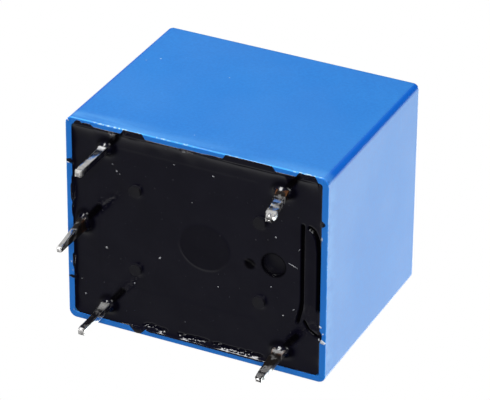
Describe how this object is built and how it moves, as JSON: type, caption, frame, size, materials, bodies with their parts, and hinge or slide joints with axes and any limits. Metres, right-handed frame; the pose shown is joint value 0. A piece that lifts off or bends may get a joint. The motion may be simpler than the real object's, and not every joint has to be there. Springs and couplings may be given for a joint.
{
  "type": "pcb relay",
  "caption": "Sealed board-mount relay in a blue box-shaped cover, with a resin-sealed black base, standoffs, coil pins and contact blades, and a hinged armature inside.",
  "frame": {"origin": "centre of the cover's footprint on the board's upper face, which the standoffs touch", "axes": "+Z away from the board, +X from the coil end to the contact end, pins towards -Z"},
  "size_m": [0.0192, 0.0154, 0.0191],
  "materials": {
    "cover_plastic": "moulded blue plastic, satin",
    "base_plastic": "moulded black plastic",
    "resin": "black sealing resin, satin gloss",
    "tinned_copper": "copper strip with dull solder tinning",
    "tinned_wire": "square wire with bright solder tinning",
    "plated_steel": "soft iron, plated",
    "bobbin_plastic": "moulded black plastic",
    "enamelled_copper": "enamelled copper wire",
    "spring_brass": "copper alloy spring strip",
    "contact_silver": "silver alloy"
  },
  "bodies": {
    "housing": {"cover": "cover_plastic", "base": "base_plastic", "sealing_resin": "resin", "com_terminal": "tinned_copper", "nc_terminal": "tinned_copper", "no_terminal": "tinned_copper", "coil_pin_a": "tinned_wire", "coil_pin_b": "tinned_wire", "yoke": "plated_steel", "core": "plated_steel", "bobbin": "bobbin_plastic", "coil_winding": "enamelled_copper", "coil_lead_a": "enamelled_copper", "coil_lead_b": "enamelled_copper", "yoke_rivets": "spring_brass", "nc_contact": "contact_silver", "no_contact": "contact_silver"},
    "armature": {"armature": "plated_steel", "contact_spring": "spring_brass", "armature_rivets": "spring_brass", "moving_contact": "contact_silver"}
  },
  "joints": [
    {"name": "armature_swing", "type": "hinge", "parent": "housing", "child": "armature", "pos_m": [-0.00749, 0, 0.01093], "axis": [0, 1, 0], "range_deg": [0, 2.6], "stiffness_Nm_per_rad": 0.02, "springref_deg": -8.02, "deforming": ["contact_spring"]}
  ]
}
